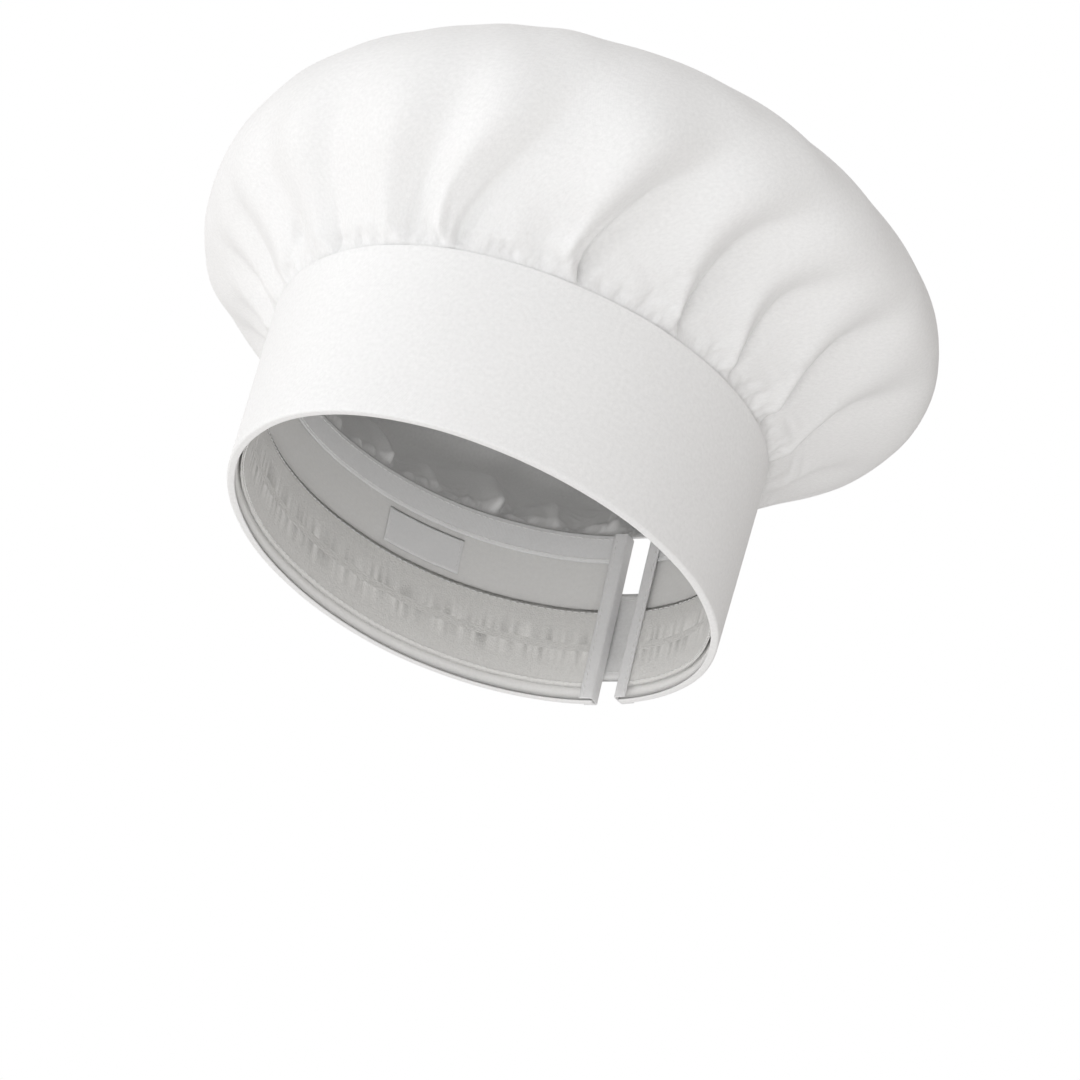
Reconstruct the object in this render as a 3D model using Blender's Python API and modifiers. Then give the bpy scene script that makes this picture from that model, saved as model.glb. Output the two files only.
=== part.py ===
"""Chef's toque: a full cloth crown gathered onto a stiffened head band with a strap closure.

Frame: the origin is the centre of the head opening, in the plane of the band's lower edge.
+Z is up, the front of the hat faces -Y and the wearer's left is +X. Units are metres.
Azimuth is measured in degrees round the hat: 0 at the front, 90 on the wearer's left.
"""

from math import cos, radians, sin

import bpy
from mathutils import Vector

HAT = "chef_toque"

# Head band: an egg-shaped oval, longer than wide, whose upper edge is rounder than its lower one.
BAND_HEIGHT = 0.0685
LOWER_HALF_WIDTH = 0.0805
LOWER_HALF_LENGTH = 0.1048
UPPER_HALF_WIDTH = 0.0854
UPPER_HALF_LENGTH = 0.1014
UPPER_SHIFT_BACK = 0.0028
EGG_SHAPE = 0.055
SEGMENT = 4
VENT_HALF_ANGLE = 4
VENT_BINDING_REACH = 3
VENT_FOLD_STEP = 0.25
VENT_BINDING_CLOTH = 0.0005

# Crown: seam to rim to apex. The rim is wider than the seam and sits further back.
CROWN_RIM_HEIGHT = 0.1180
CROWN_TOP_HEIGHT = 0.1830
CROWN_HALF_WIDTH = 0.1334
CROWN_HALF_LENGTH = 0.1363
CROWN_SHIFT_BACK = 0.0177
APEX_SHIFT_BACK = -0.0203
# Bezier handles of the crown's profile, as shares of the step from seam to rim and rim to apex.
SEAM_FLARE = radians(22.5)
SEAM_HANDLE = 0.60
UNDER_RIM_HANDLE = 0.47
OVER_RIM_HANDLE = 0.50
APEX_HANDLE = 0.58
LIP_CLEARANCE = 0.0038
LIP_GAP = 0.0006
CROWN_WALL = 0.0012
CROWN_COLUMNS = 72
LOWER_ROWS = 7
UPPER_ROWS = 10

# Cloth layers of the band, from the outside in, with a gap between neighbours.
GAP = 0.0003
BAND_CLOTH = 0.0008
INTERFACING_CLOTH = 0.0008
LINING_CLOTH = 0.0007
SWEATBAND_CLOTH = 0.0012
BINDING_CLOTH = 0.0008
LABEL_CLOTH = 0.0003
BAND_DEPTH = BAND_CLOTH + INTERFACING_CLOTH + LINING_CLOTH + SWEATBAND_CLOTH + 3 * GAP
HEM_STEP = 0.0010
SEAM_ALLOWANCE = 0.0085
GATHER_RISE = 0.0040
SWEATBAND_SPAN = (0.0050, 0.0370)
BINDING_WIDTH = 0.0120
LABEL_SPAN = (0.0400, 0.0545)
LABEL_AZIMUTHS = (224, 244)

# Closure strap across the vent at the back: sewn down on one side, hook and loop on the other.
STRAP_SPAN = (0.0120, 0.0480)
STRAP_CLOTH = 0.0006
STRAP_ROOT = 188
STRAP_TIP = 152
BASE_END = 208
BASE_CLOTH = 0.0019
STIFFENER_INSET = 0.0025
TIP_CORNER = 0.0100
TAPE_CLOTH = 0.0010
TAPE_SPAN = (0.0175, 0.0425)
HOOK_AZIMUTHS = (156, 172)
LOOP_AZIMUTHS = (140, 172)
SLIT = 0.4

WHITE_TWILL = (0.90, 0.90, 0.89)
LINING_WHITE = (0.88, 0.88, 0.86)
TERRY_WHITE = (0.86, 0.86, 0.83)
TAPE_WHITE = (0.84, 0.85, 0.86)


def clear_scene():
    for thing in list(bpy.data.objects):
        bpy.data.objects.remove(thing, do_unlink=True)


def make_material(name, colour, roughness):
    material = bpy.data.materials.new(name)
    material.use_nodes = True
    shader = material.node_tree.nodes["Principled BSDF"]
    shader.inputs["Base Color"].default_value = (*colour, 1.0)
    shader.inputs["Roughness"].default_value = roughness
    shader.inputs["Metallic"].default_value = 0.0
    return material


def mesh_object(name, vertices, faces, material, collection, pivot=Vector((0.0, 0.0, 0.0))):
    """A mesh object whose vertices are given in the hat's frame and whose origin is the pivot."""
    mesh = bpy.data.meshes.new(name)
    mesh.from_pydata([Vector(v) - pivot for v in vertices], [], faces)
    mesh.materials.append(material)
    piece = bpy.data.objects.new(name, mesh)
    piece.location = pivot
    collection.objects.link(piece)
    return piece


def pivot_empty(name, location, collection):
    empty = bpy.data.objects.new(name, None)
    empty.location = location
    collection.objects.link(empty)
    return empty


def hang_on(piece, empty):
    """Parents a piece whose origin is already on the empty, and keeps it where it is."""
    piece.parent = empty
    piece.location = piece.location - empty.location


def egg_oval(azimuth, half_width, half_length, shift):
    """A point of an oval that is a little narrower at the front than at the back."""
    turn = radians(azimuth)
    x = half_width * sin(turn) * (1.0 - EGG_SHAPE * cos(turn))
    y = shift - half_length * cos(turn)
    return Vector((x, y, 0.0))


def band_wall(azimuth, height, outward):
    """A point at a height of the band's outer face, moved outward by a distance."""
    level = height / BAND_HEIGHT
    half_width = LOWER_HALF_WIDTH + (UPPER_HALF_WIDTH - LOWER_HALF_WIDTH) * level
    half_length = LOWER_HALF_LENGTH + (UPPER_HALF_LENGTH - LOWER_HALF_LENGTH) * level
    shift = UPPER_SHIFT_BACK * level
    here = egg_oval(azimuth, half_width, half_length, shift)
    ahead = egg_oval(azimuth + 0.5, half_width, half_length, shift)
    behind = egg_oval(azimuth - 0.5, half_width, half_length, shift)
    along = (ahead - behind).normalized()
    normal = Vector((along.y, -along.x, 0.0))
    point = here + normal * outward
    point.z = height
    return point


def steps_between(first, last):
    """Azimuths from first to last, with every whole segment of the band between them."""
    inner = [a for a in range(0, 721, SEGMENT) if first < a < last]
    return [first, *inner, last]


def cloth_strip(name, columns, material, collection, pivot=Vector((0.0, 0.0, 0.0))):
    """A closed strip of cloth through columns of four corners, each an azimuth, a height and an offset."""
    vertices = [band_wall(*corner) for column in columns for corner in column]
    faces = [(0, 1, 2, 3)]
    for start in range(0, 4 * (len(columns) - 1), 4):
        for side in range(4):
            turn = (side + 1) % 4
            faces.append((start + side, start + 4 + side, start + 4 + turn, start + turn))
    last = 4 * (len(columns) - 1)
    faces.append((last + 3, last + 2, last + 1, last))
    return mesh_object(name, vertices, faces, material, collection, pivot)


def curved_panel(name, azimuths, span, offsets, material, collection, pivot=Vector((0.0, 0.0, 0.0))):
    """A strip that follows the band.

    span(azimuth) gives its lower and upper edge, offsets(azimuth) its inner and outer face.
    """
    columns = []
    for azimuth in azimuths:
        low, high = span(azimuth)
        inner, outer = offsets(azimuth)
        corners = ((low, inner), (low, outer), (high, outer), (high, inner))
        columns.append([(azimuth, height, outward) for height, outward in corners])
    return cloth_strip(name, columns, material, collection, pivot)


def constant(*values):
    return lambda azimuth: values


def band_layer(name, span, outer, thickness, material, collection):
    """A layer that goes round the head from one edge of the back vent to the other."""
    azimuths = steps_between(180 + VENT_HALF_ANGLE, 540 - VENT_HALF_ANGLE)
    faces = constant(outer - thickness, outer)
    return curved_panel(name, azimuths, constant(*span), faces, material, collection)


def build_band(collection):
    """The band's shell, stiffening, lining, sweatband, seam binding and label."""
    twill = make_material("band_twill", WHITE_TWILL, 0.85)
    lining = make_material("lining_cotton", LINING_WHITE, 0.9)
    interfacing = make_material("interfacing_felt", LINING_WHITE, 0.95)
    terry = make_material("sweatband_terry", TERRY_WHITE, 0.95)
    binding = make_material("binding_tape", WHITE_TWILL, 0.8)
    satin = make_material("label_satin", TAPE_WHITE, 0.5)

    allowance_bottom = BAND_HEIGHT - SEAM_ALLOWANCE
    lining_outer = -BAND_CLOTH - GAP - INTERFACING_CLOTH - GAP
    inside = lining_outer - LINING_CLOTH - GAP

    band_layer("band_shell", (0.0, BAND_HEIGHT), 0.0, BAND_CLOTH, twill, collection)
    stiff_span = (HEM_STEP, allowance_bottom - GAP)
    stiff_outer = -BAND_CLOTH - GAP
    band_layer("band_interfacing", stiff_span, stiff_outer, INTERFACING_CLOTH, interfacing, collection)
    band_layer("band_lining", (HEM_STEP, BAND_HEIGHT), lining_outer, LINING_CLOTH, lining, collection)
    band_layer("sweatband", SWEATBAND_SPAN, inside, SWEATBAND_CLOTH, terry, collection)
    binding_span = (BAND_HEIGHT - BINDING_WIDTH, BAND_HEIGHT)
    band_layer("seam_binding", binding_span, inside, BINDING_CLOTH, binding, collection)

    label_steps = steps_between(*LABEL_AZIMUTHS)
    label_faces = constant(inside - LABEL_CLOTH, inside)
    curved_panel("care_label", label_steps, constant(*LABEL_SPAN), label_faces, satin, collection)


def build_vent_bindings(collection):
    """The two folded tapes that close the band's layers at the edges of the back vent."""
    tape = make_material("vent_binding_tape", WHITE_TWILL, 0.8)
    outside = GAP
    inside = -BAND_DEPTH - GAP
    low, high = GAP, BAND_HEIGHT
    for name, side in (("vent_binding_left", -1), ("vent_binding_right", 1)):
        far = 180 + side * (VENT_HALF_ANGLE + VENT_BINDING_REACH)
        near = 180 + side * (VENT_HALF_ANGLE - VENT_FOLD_STEP)
        edge = 180 + side * (VENT_HALF_ANGLE - 2 * VENT_FOLD_STEP)
        path = (
            ((far, outside), (far, outside + VENT_BINDING_CLOTH)),
            ((near, outside), (edge, outside + VENT_BINDING_CLOTH)),
            ((near, inside), (edge, inside - VENT_BINDING_CLOTH)),
            ((far, inside), (far, inside - VENT_BINDING_CLOTH)),
        )
        columns = []
        for (azimuth_in, offset_in), (azimuth_out, offset_out) in path[::-side]:
            inner = [(azimuth_in, height, offset_in) for height in (low, high)]
            outer = [(azimuth_out, height, offset_out) for height in (low, high)]
            columns.append((inner[0], outer[0], outer[1], inner[1]))
        cloth_strip(name, columns, tape, collection)


def bezier(start, first, second, end, share):
    """A point of a cubic Bezier curve."""
    rest = 1.0 - share
    return (
        start * rest**3
        + first * (3.0 * rest * rest * share)
        + second * (3.0 * rest * share * share)
        + end * share**3
    )


def crown_point(azimuth, rise):
    """A point of the crown: rise 0 is the lip at the seam, 1 the widest rim and 2 the apex."""
    turn = radians(azimuth)
    rim = Vector((CROWN_HALF_WIDTH * sin(turn), CROWN_SHIFT_BACK - CROWN_HALF_LENGTH * cos(turn), 0.0))
    if rise <= 1.0:
        seam = egg_oval(azimuth, UPPER_HALF_WIDTH, UPPER_HALF_LENGTH, UPPER_SHIFT_BACK)
        leave = Vector((sin(SEAM_FLARE), cos(SEAM_FLARE))) * SEAM_HANDLE
        arrive = Vector((1.0, 1.0 - UNDER_RIM_HANDLE))
        share = bezier(Vector((0.0, 0.0)), leave, arrive, Vector((1.0, 1.0)), rise)
        bulge = LIP_CLEARANCE / (rim - seam).length
        point = seam.lerp(rim, max(share.x, bulge))
        bottom = BAND_HEIGHT + LIP_GAP
        point.z = bottom + (CROWN_RIM_HEIGHT - bottom) * share.y
        return point
    apex = Vector((0.0, APEX_SHIFT_BACK, 0.0))
    leave = Vector((0.0, OVER_RIM_HANDLE))
    arrive = Vector((1.0 - APEX_HANDLE, 1.0))
    share = bezier(Vector((0.0, 0.0)), leave, arrive, Vector((1.0, 1.0)), rise - 1.0)
    point = rim.lerp(apex, share.x)
    point.z = CROWN_RIM_HEIGHT + (CROWN_TOP_HEIGHT - CROWN_RIM_HEIGHT) * share.y
    return point


def build_crown(collection):
    """The puffed crown, which tips over its seam, and its gathered edge, which stays in the seam."""
    twill = make_material("crown_twill", WHITE_TWILL, 0.85)
    pivot = Vector((0.0, 0.0, BAND_HEIGHT))
    lower = [row / LOWER_ROWS for row in range(LOWER_ROWS + 1)]
    upper = [1.0 + row / UPPER_ROWS for row in range(1, UPPER_ROWS)]
    rows = len(lower + upper)
    vertices = []
    for column in range(CROWN_COLUMNS):
        azimuth = 360.0 * column / CROWN_COLUMNS
        vertices += [crown_point(azimuth, rise) for rise in lower + upper]
    apex = len(vertices)
    vertices.append(crown_point(0.0, 2.0))
    faces = []
    for column in range(CROWN_COLUMNS):
        here = column * rows
        beside = (column + 1) % CROWN_COLUMNS * rows
        for row in range(rows - 1):
            faces.append((here + row, beside + row, beside + row + 1, here + row + 1))
        faces.append((here + rows - 1, beside + rows - 1, apex))
    crown = mesh_object("crown", vertices, faces, twill, collection, pivot)
    crown.data.shade_smooth()
    wall = crown.modifiers.new("wall", "SOLIDIFY")
    wall.thickness = CROWN_WALL
    wall.offset = -1.0
    hang_on(crown, pivot_empty("crown_pivot", pivot, collection))

    gathers_outer = -BAND_CLOTH - GAP
    gathers_span = (BAND_HEIGHT - SEAM_ALLOWANCE, BAND_HEIGHT + GATHER_RISE)
    band_layer("crown_gathers", gathers_span, gathers_outer, INTERFACING_CLOTH, twill, collection)


def tip_span(low, high, tip, corner):
    """Edges of a strip whose free end, at the azimuth tip, has rounded corners."""

    def span(azimuth):
        height = 0.5 * (low + high)
        travel = (band_wall(azimuth, height, 0.0) - band_wall(tip, height, 0.0)).length
        short = max(0.0, corner - travel)
        cut = corner - (corner * corner - short * short) ** 0.5
        return low + cut, high - cut

    return span


def build_closure(collection):
    """The strap's sewn base, its free tab in three layers, and the hook and loop tapes."""
    twill = make_material("strap_twill", WHITE_TWILL, 0.85)
    stiff = make_material("strap_interfacing", LINING_WHITE, 0.95)
    hooks = make_material("hook_tape", TAPE_WHITE, 0.6)
    loops = make_material("loop_tape", TAPE_WHITE, 0.9)

    loop_inner = GAP
    hook_inner = loop_inner + TAPE_CLOTH + GAP
    under_inner = hook_inner + TAPE_CLOTH + GAP
    stiff_inner = under_inner + STRAP_CLOTH + GAP
    over_inner = stiff_inner + STRAP_CLOTH + GAP
    strap_outer = over_inner + STRAP_CLOTH
    middle = 0.5 * (STRAP_SPAN[0] + STRAP_SPAN[1])
    pivot = band_wall(STRAP_ROOT, middle, strap_outer)
    hinge = pivot_empty("closure_tab_pivot", pivot, collection)

    def base_offsets(azimuth):
        ramp = (BASE_END - azimuth) / (BASE_END - STRAP_ROOT)
        ease = ramp * ramp * (3.0 - 2.0 * ramp)
        inner = GAP + (under_inner - GAP) * ease
        sewn_outer = GAP + BASE_CLOTH
        return inner, sewn_outer + (strap_outer - sewn_outer) * ease

    base_steps = steps_between(STRAP_ROOT + SLIT, BASE_END)
    curved_panel("strap_base", base_steps, constant(*STRAP_SPAN), base_offsets, twill, collection)
    loop_steps = steps_between(*LOOP_AZIMUTHS)
    loop_faces = constant(loop_inner, loop_inner + TAPE_CLOTH)
    curved_panel("loop_tape", loop_steps, constant(*TAPE_SPAN), loop_faces, loops, collection)

    low, high = STRAP_SPAN
    tip_steps = [STRAP_TIP + 0.5 * step for step in range(4)] + [STRAP_TIP + 2.5]
    tab_steps = tip_steps + steps_between(STRAP_TIP + 4, STRAP_ROOT)
    outline = tip_span(low, high, STRAP_TIP, TIP_CORNER)
    for name, inner in (("tab_underside", under_inner), ("tab_top", over_inner)):
        faces = constant(inner, inner + STRAP_CLOTH)
        hang_on(curved_panel(name, tab_steps, outline, faces, twill, collection, pivot), hinge)

    inset_steps = steps_between(STRAP_TIP + 2, STRAP_ROOT - 1)
    inset_span = tip_span(low + STIFFENER_INSET, high - STIFFENER_INSET, STRAP_TIP + 2, TIP_CORNER / 2)
    stiff_faces = constant(stiff_inner, stiff_inner + STRAP_CLOTH)
    stiffener = curved_panel("tab_stiffener", inset_steps, inset_span, stiff_faces, stiff, collection, pivot)
    hang_on(stiffener, hinge)
    hook_steps = steps_between(*HOOK_AZIMUTHS)
    hook_faces = constant(hook_inner, hook_inner + TAPE_CLOTH)
    hook = curved_panel("hook_tape", hook_steps, constant(*TAPE_SPAN), hook_faces, hooks, collection, pivot)
    hang_on(hook, hinge)


def main():
    clear_scene()
    hat = bpy.data.collections.new(HAT)
    bpy.context.scene.collection.children.link(hat)
    build_band(hat)
    build_vent_bindings(hat)
    build_crown(hat)
    build_closure(hat)


main()
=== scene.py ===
from math import cos, pi, radians, sin

import bpy
import numpy as np
from mathutils import Matrix, Vector


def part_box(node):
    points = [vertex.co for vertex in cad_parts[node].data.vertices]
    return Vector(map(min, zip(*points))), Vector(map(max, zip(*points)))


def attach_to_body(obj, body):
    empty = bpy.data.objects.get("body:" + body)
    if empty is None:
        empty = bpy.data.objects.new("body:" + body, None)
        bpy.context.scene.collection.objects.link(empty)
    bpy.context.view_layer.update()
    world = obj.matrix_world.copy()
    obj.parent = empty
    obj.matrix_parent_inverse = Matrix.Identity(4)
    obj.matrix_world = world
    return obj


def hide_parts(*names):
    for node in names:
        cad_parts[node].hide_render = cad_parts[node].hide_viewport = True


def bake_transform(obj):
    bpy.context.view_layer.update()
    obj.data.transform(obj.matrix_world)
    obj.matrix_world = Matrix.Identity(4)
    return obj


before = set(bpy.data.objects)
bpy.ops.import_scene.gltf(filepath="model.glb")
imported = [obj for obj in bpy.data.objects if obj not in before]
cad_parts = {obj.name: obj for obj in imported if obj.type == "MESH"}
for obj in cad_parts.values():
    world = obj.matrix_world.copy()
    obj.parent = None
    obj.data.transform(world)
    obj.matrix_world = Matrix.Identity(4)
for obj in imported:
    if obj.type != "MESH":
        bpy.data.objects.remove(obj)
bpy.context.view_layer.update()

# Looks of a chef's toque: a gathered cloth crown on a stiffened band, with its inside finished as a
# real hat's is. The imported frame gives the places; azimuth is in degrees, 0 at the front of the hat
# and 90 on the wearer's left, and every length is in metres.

MM = 0.001

# Band and crown: the same driving dimensions as the frame.
BAND_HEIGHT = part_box("band_shell")[1].z
LOWER_HALF_WIDTH = 0.0805
LOWER_HALF_LENGTH = 0.1048
UPPER_HALF_WIDTH = 0.0854
UPPER_HALF_LENGTH = 0.1014
UPPER_SHIFT_BACK = 0.0028
MEAN_RADIUS = 0.5 * (UPPER_HALF_LENGTH + UPPER_HALF_WIDTH)
EGG_SHAPE = 0.055
VENT_FIRST = 184.0
VENT_LAST = 536.0
CROWN_RIM_HEIGHT = 0.1180
CROWN_TOP_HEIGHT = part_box("crown")[1].z
CROWN_HALF_WIDTH = 0.1334
CROWN_HALF_LENGTH = 0.1363
CROWN_SHIFT_BACK = 0.0177
APEX_SHIFT_BACK = -0.0203
SEAM_FLARE = radians(22.5)
SEAM_HANDLE = 0.60
UNDER_RIM_HANDLE = 0.47
OVER_RIM_HANDLE = 0.50
APEX_HANDLE = 0.58

# Layers of the band, as offsets from its outer face: (inner, outer). The vent's tapes reach from 7 to
# 3.75 degrees from the middle of the back, and bend beyond by a fraction of one.
SHELL = (-0.8 * MM, 0.0)
LINING = (-2.9 * MM, -2.2 * MM)
SWEATBAND = (-4.4 * MM, -3.2 * MM)
SEAM_TAPE = (-4.0 * MM, -3.2 * MM)
LABEL = (-3.5 * MM, -3.2 * MM)
VENT_TAPE = 0.5 * MM
VENT_TAPE_INSIDE = -4.7 * MM
VENT_TAPE_OUTSIDE = 0.3 * MM
VENT_TAPE_REACH = (7.0, 3.75)
VENT_TAPE_BEND = 0.15
VENT_TAPE_BOTTOM = 0.3 * MM
HEM_STEP = 1.0 * MM
SWEATBAND_SPAN = (5.0 * MM, 37.0 * MM)
SEAM_TAPE_SPAN = (56.5 * MM, BAND_HEIGHT)
LABEL_SPAN = (40.0 * MM, 54.5 * MM)
LABEL_AZIMUTHS = (224.0, 244.0)

# Closure strap, from the tip of the free tab to the end of the sewn base.
STRAP_SPAN = (12.0 * MM, 48.0 * MM)
STRAP_TIP, STRAP_ROOT, BASE_END = 152.0, 188.0, 208.0
TIP_CORNER = 10.0 * MM
TAPE_SPAN = (17.5 * MM, 42.5 * MM)
HOOK_AZIMUTHS = (156.0, 172.0)
LOOP_AZIMUTHS = (140.0, 172.0)
LOOP_TAPE = (0.3 * MM, 0.8 * MM)
LOOP_PILE = 1.35 * MM
HOOK_TAPE = (2.1 * MM, 2.6 * MM)
HOOK_REACH = 1.3 * MM
TAB_UNDER = (2.9 * MM, 3.5 * MM)
TAB_OVER = (4.7 * MM, 5.3 * MM)
BASE_SEWN = (0.3 * MM, 2.2 * MM)

# Crown cloth: its thickness, its place in the seam, and the round that it is cut from.
CROWN_CLOTH = 0.5 * MM
SEAM_OFFSET = -1.5 * MM
CROWN_TUCK = 7.5 * MM
CROWN_COLUMNS = 800
UPPER_ROWS = 43

# Folds: how full the cloth stands at the seam, and what every long fold's depth and width are
# multiplied by. A fold leans to one side, and crests there by a share of its depth.
SEAM_PUFF = 2.4 * MM
FOLD_DEPTH = 2.2
FOLD_WIDTH = 1.15
FOLD_LEAN = -0.35
FOLD_CREST = 0.6

# Folds all round the seam, as count, length and depth in mm, and width: short ones, and the finest.
SHORT_FOLDS = (34, 28.0, 2.1, 0.9)
FINEST_FOLDS = (92, 11.0, 1.8, 0.8)

# Cloth simulation: how much wider the cut is than the seam, up to what share of the way to the rim,
# the coarse grid and its frames, and how firmly the cloth is held to the folds. By length from the
# seam, it grows firm over CLOTH_FIRM, and its move is faded out over CLOTH_FADE.
GATHER = 0.05
GATHER_REACH = 0.9
CLOTH_COLUMNS = 400
CLOTH_FRAMES = 20
CLOTH_DRAW_IN = 12
CLOTH_QUALITY = 6
CLOTH_BENDING = 5.0
CLOTH_PRESSURE = 1.0
CLOTH_GUIDE = 0.4
CLOTH_FIRM = (85.0 * MM, 130.0 * MM)
CLOTH_FADE = (18.0 * MM, 60.0 * MM)
CLOTH_CAP = 2.0 * MM

WHITE = (0.875, 0.875, 0.872)
LINING_WHITE = (0.86, 0.858, 0.845)
TERRY_WHITE = (0.84, 0.835, 0.815)
TAPE_WHITE = (0.86, 0.862, 0.865)
THREAD_WHITE = (0.90, 0.90, 0.895)
# How strongly the cloth's tone varies: its grain, and the painted shade in the gaps between threads.
GRAIN_AND_GAP_SHADE_CONTRAST = 2.8


# ---------------------------------------------------------------- surfaces


def smooth(value, low, high):
    """0 below low, 1 above high, and a smooth step between them."""
    share = np.clip((value - low) / (high - low), 0.0, 1.0)
    return share * share * (3.0 - 2.0 * share)


def egg_oval(turn, half_width, half_length, shift):
    """x and y of an oval that is a little narrower at the front than at the back."""
    x = half_width * np.sin(turn) * (1.0 - EGG_SHAPE * np.cos(turn))
    y = shift - half_length * np.cos(turn)
    return x, y


def band_point(azimuth, height, outward):
    """Points at heights of the band's outer face, moved outward by distances."""
    azimuth, height, outward = np.broadcast_arrays(azimuth, height, outward)
    level = height / BAND_HEIGHT
    half_width = LOWER_HALF_WIDTH + (UPPER_HALF_WIDTH - LOWER_HALF_WIDTH) * level
    half_length = LOWER_HALF_LENGTH + (UPPER_HALF_LENGTH - LOWER_HALF_LENGTH) * level
    shift = UPPER_SHIFT_BACK * level
    x, y = egg_oval(np.radians(azimuth), half_width, half_length, shift)
    ahead = egg_oval(np.radians(azimuth + 0.5), half_width, half_length, shift)
    behind = egg_oval(np.radians(azimuth - 0.5), half_width, half_length, shift)
    along_x, along_y = ahead[0] - behind[0], ahead[1] - behind[1]
    length = np.hypot(along_x, along_y)
    return np.stack([x + outward * along_y / length, y - outward * along_x / length, height], -1)


def arc_metres(degrees):
    """How far an arc in degrees reaches along the band at the back."""
    return np.radians(degrees) * UPPER_HALF_LENGTH


def arc_degrees(metres):
    return np.degrees(metres / UPPER_HALF_LENGTH)


def ripple(azimuth, height):
    """The faint waviness of stiffened cloth, well under the gap between two layers."""
    turn = np.radians(azimuth)
    wave = np.sin(5 * turn + 0.7 + 9 * height)
    wave = wave + 0.7 * np.sin(9 * turn + 2.1 + 28 * height)
    wave = wave + 0.5 * np.sin(16 * turn - 1.3 - 45 * height)
    return 0.09 * MM * wave


def bezier(start, first, second, end, share):
    rest = 1.0 - share
    weights = (rest**3, 3 * rest**2 * share, 3 * rest * share**2, share**3)
    return sum(weight * value for weight, value in zip(weights, (start, first, second, end)))


def crown_base(azimuth, rise):
    """The crown's smooth form on a grid of rows (rise: 0 seam, 1 rim, 2 apex) and azimuths."""
    turn = np.radians(azimuth)[None, :]
    rise = rise[:, None]
    seam_x, seam_y = egg_oval(turn, UPPER_HALF_WIDTH, UPPER_HALF_LENGTH, UPPER_SHIFT_BACK)
    rim_x = CROWN_HALF_WIDTH * np.sin(turn)
    rim_y = CROWN_SHIFT_BACK - CROWN_HALF_LENGTH * np.cos(turn)
    below = np.minimum(rise, 1.0)
    out = bezier(0.0, sin(SEAM_FLARE) * SEAM_HANDLE, 1.0, 1.0, below)
    up = bezier(0.0, cos(SEAM_FLARE) * SEAM_HANDLE, 1.0 - UNDER_RIM_HANDLE, 1.0, below)
    above = np.maximum(rise, 1.0) - 1.0
    inward = bezier(0.0, 0.0, 1.0 - APEX_HANDLE, 1.0, above)
    over = bezier(0.0, OVER_RIM_HANDLE, 1.0, 1.0, above)
    x = (seam_x + (rim_x - seam_x) * out) * (1.0 - inward)
    y = (seam_y + (rim_y - seam_y) * out) * (1.0 - inward) + APEX_SHIFT_BACK * inward
    z = BAND_HEIGHT + (CROWN_RIM_HEIGHT - BAND_HEIGHT) * up
    z = z + (CROWN_TOP_HEIGHT - CROWN_RIM_HEIGHT) * over
    return np.stack([x, y, z + 0.0 * turn], -1)


def unit(vectors):
    return vectors / np.maximum(np.linalg.norm(vectors, axis=-1, keepdims=True), 1e-12)


def grid_directions(points):
    """Unit vectors along the azimuth and outward, and metres per column, on a grid closed round."""
    along = np.roll(points, -1, axis=1) - np.roll(points, 1, axis=1)
    up = np.gradient(points, axis=0)
    return unit(along), unit(np.cross(along, up)), 0.5 * np.linalg.norm(along, axis=-1)


# ---------------------------------------------------------------- meshes


def put_in_scene(name, data):
    made = bpy.data.objects.new(name, data)
    bpy.context.scene.collection.objects.link(made)
    return made


def make_piece(name, points, faces, uv, material):
    """A smooth mesh object with one UV, in metres of cloth, for each vertex."""
    mesh = bpy.data.meshes.new(name)
    mesh.from_pydata(points.tolist(), [], faces)
    layer = mesh.uv_layers.new(name="cloth")
    corners = np.empty(len(mesh.loops), np.int32)
    mesh.loops.foreach_get("vertex_index", corners)
    layer.data.foreach_set("uv", uv[corners].astype(np.float32).ravel())
    mesh.shade_smooth()
    mesh.materials.append(material)
    return put_in_scene(name, mesh)


def tube_faces(columns, ring):
    """Faces of a tube with closed ends, through columns of as many ring points each."""
    faces = []
    for start in range(0, (columns - 1) * ring, ring):
        for side in range(ring):
            turn = (side + 1) % ring
            faces.append((start + side, start + ring + side, start + ring + turn, start + turn))
    faces.append(tuple(range(ring)))
    faces.append(tuple(range(columns * ring - 1, (columns - 1) * ring - 1, -1)))
    return faces


def sweep(name, sections, uv, material):
    """A closed solid through rings of points: sections is columns by ring points by 3."""
    faces = tube_faces(*sections.shape[:2])
    return make_piece(name, sections.reshape(-1, 3), faces, uv.reshape(-1, 2), material)


def ring_outline(low, high, inner, outer, rows):
    """Heights and offsets round a strip's section with rounded edges: up the inside, down the outside."""
    radius = 0.5 * (outer - inner)
    middle = 0.5 * (outer + inner)
    edge = min(radius, 0.45 * (high - low))
    climb = np.linspace(low + edge, high - edge, rows)
    arc = np.linspace(0.0, pi, 7)[1:-1]
    top_heights, top_offsets = high - edge + edge * np.sin(arc), middle - radius * np.cos(arc)
    low_heights, low_offsets = low + edge - edge * np.sin(arc), middle + radius * np.cos(arc)
    heights = np.concatenate([climb, top_heights, climb[::-1], low_heights])
    offsets = np.concatenate([np.full(rows, inner), top_offsets, np.full(rows, outer), low_offsets])
    return heights, offsets


def end_columns(first, last, step, thickness):
    """Azimuths along a strip, and how far its section is pinched at each, so that its ends are round."""
    degrees = arc_degrees(0.5 * thickness)
    turns = np.radians([8.0, 30.0, 55.0])
    near, pinch = degrees * (1.0 - np.cos(turns)), np.sin(turns)
    count = max(2, int(round((last - first) / step)))
    body = np.linspace(first + degrees, last - degrees, count + 1)
    azimuths = np.concatenate([first + near, body, (last - near)[::-1]])
    return azimuths, np.concatenate([pinch, np.ones(count + 1), pinch[::-1]])


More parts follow.
